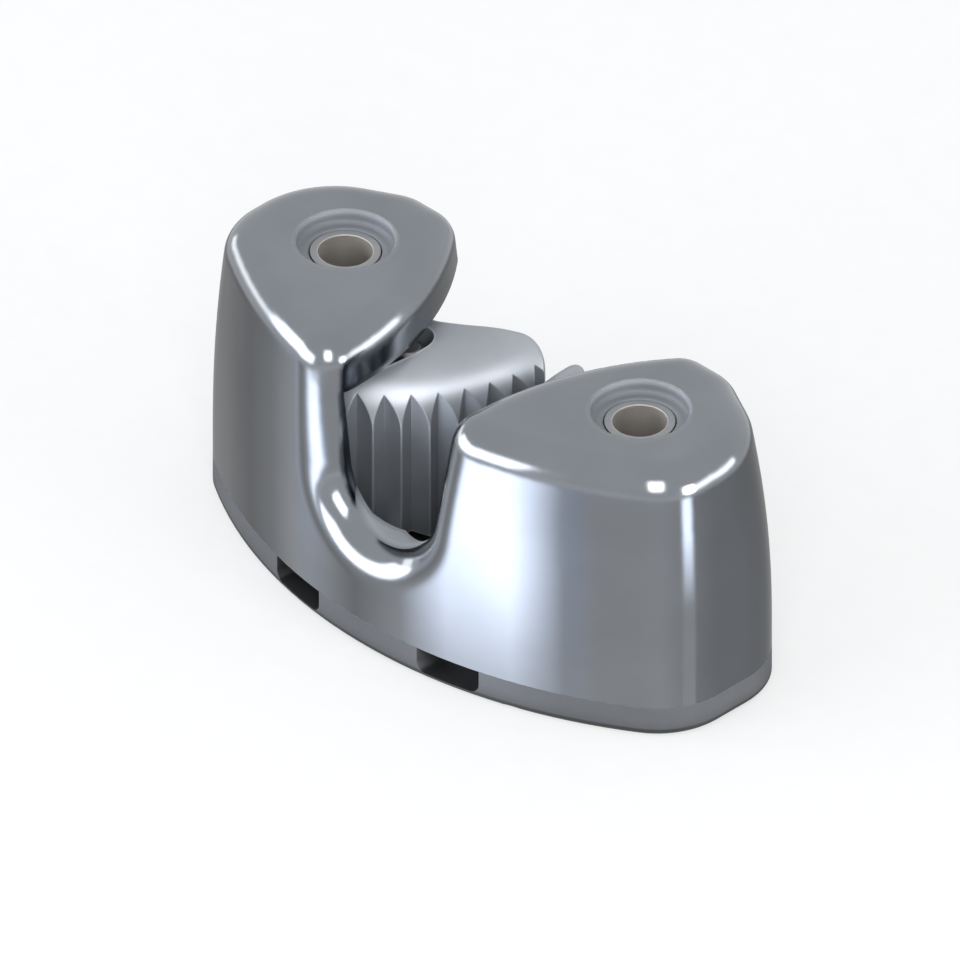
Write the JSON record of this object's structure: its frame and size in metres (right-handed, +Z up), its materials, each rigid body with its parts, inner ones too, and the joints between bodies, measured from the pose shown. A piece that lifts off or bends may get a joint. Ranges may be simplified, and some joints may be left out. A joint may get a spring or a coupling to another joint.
{
  "type": "jam cleat",
  "caption": "Two-jaw jam cleat for rope: polished housing with a flared mouth, moulded base and sprung toothed jaws on tubular pivots.",
  "frame": {"origin": "midway between the two mounting screw axes, on the face that meets the deck", "axes": "+X to the right along the line of the screws, -Y to the loaded front with the mouth, +Z up along the screws"},
  "size_m": [0.062, 0.0285, 0.028],
  "materials": {
    "housing": "polished",
    "base": "matt moulded",
    "jaw": "satin anodised",
    "tube": "turned",
    "bearing": "natural",
    "spring": "drawn wire",
    "screws": "plain"
  },
  "bodies": {
    "frame": {"housing": "housing", "base_plate": "base", "base_screws": "screws", "left_pivot_tube": "tube", "left_bearing_sleeve": "bearing", "left_lower_washer": "bearing", "left_upper_washer": "bearing", "left_spring": "spring", "left_stop_pin": "tube", "right_pivot_tube": "tube", "right_bearing_sleeve": "bearing", "right_lower_washer": "bearing", "right_upper_washer": "bearing", "right_spring": "spring", "right_stop_pin": "tube"},
    "left_jaw": {"left_cam": "jaw"},
    "right_jaw": {"right_cam": "jaw"}
  },
  "joints": [
    {"name": "left_jaw_hinge", "type": "hinge", "parent": "frame", "child": "left_jaw", "pos_m": [-0.019, 0, 0.013], "axis": [0, 0, 1], "range_deg": [0, 34], "stiffness_Nm_per_rad": 0.05, "springref_deg": -17.19, "deforming": ["left_spring"]},
    {"name": "right_jaw_hinge", "type": "hinge", "parent": "frame", "child": "right_jaw", "pos_m": [0.019, 0, 0.013], "axis": [0, 0, -1], "range_deg": [0, 34], "stiffness_Nm_per_rad": 0.05, "springref_deg": -17.19, "deforming": ["right_spring"]}
  ]
}
